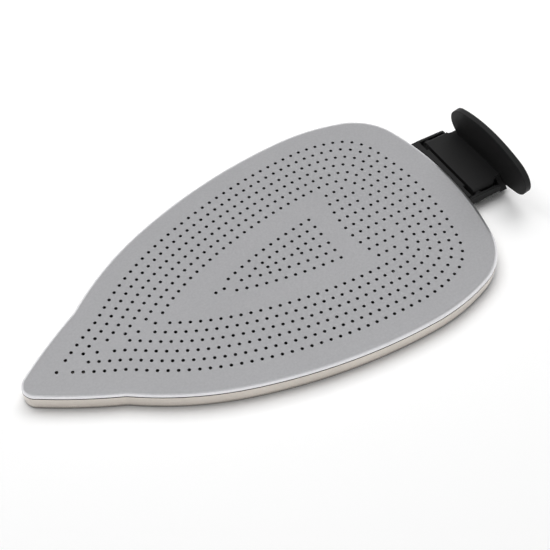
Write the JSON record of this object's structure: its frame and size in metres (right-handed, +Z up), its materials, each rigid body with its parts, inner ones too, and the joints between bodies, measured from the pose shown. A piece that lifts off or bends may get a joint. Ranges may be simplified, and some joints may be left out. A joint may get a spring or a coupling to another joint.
{
  "type": "iron shoe cover",
  "caption": "Clip-on ironing shoe: perforated metal sole plate with a rolled edge on a rim band, toe lip at the tip and a hinged black latch with an oval thumb tab at the heel.",
  "frame": {"origin": "middle of the bounding box in plan, on the surface that the shoe rests on", "axes": "+X from the tip to the heel and its latch, +Y to the far side of the picture, +Z up out of the ironing face"},
  "size_m": [0.2554, 0.131, 0.0331],
  "materials": {
    "sole_plate": "satin, fine pressed grain",
    "rim_band": "champagne, satin",
    "latch_base": "black, fine texture",
    "latch_arm": "black, fine texture",
    "hinge_pin": "bright",
    "screws": "bright"
  },
  "bodies": {
    "tray": {"sole_plate": "sole_plate", "rim_band": "rim_band", "latch_base": "latch_base", "hinge_pin": "hinge_pin", "screw_near": "screws", "screw_far": "screws"},
    "latch": {"latch_arm": "latch_arm"}
  },
  "joints": [
    {"name": "latch_hinge", "type": "hinge", "parent": "tray", "child": "latch", "pos_m": [0.10854, 0.0062, 0.005], "axis": [0, 1, 0], "range_deg": [0, 90]}
  ]
}
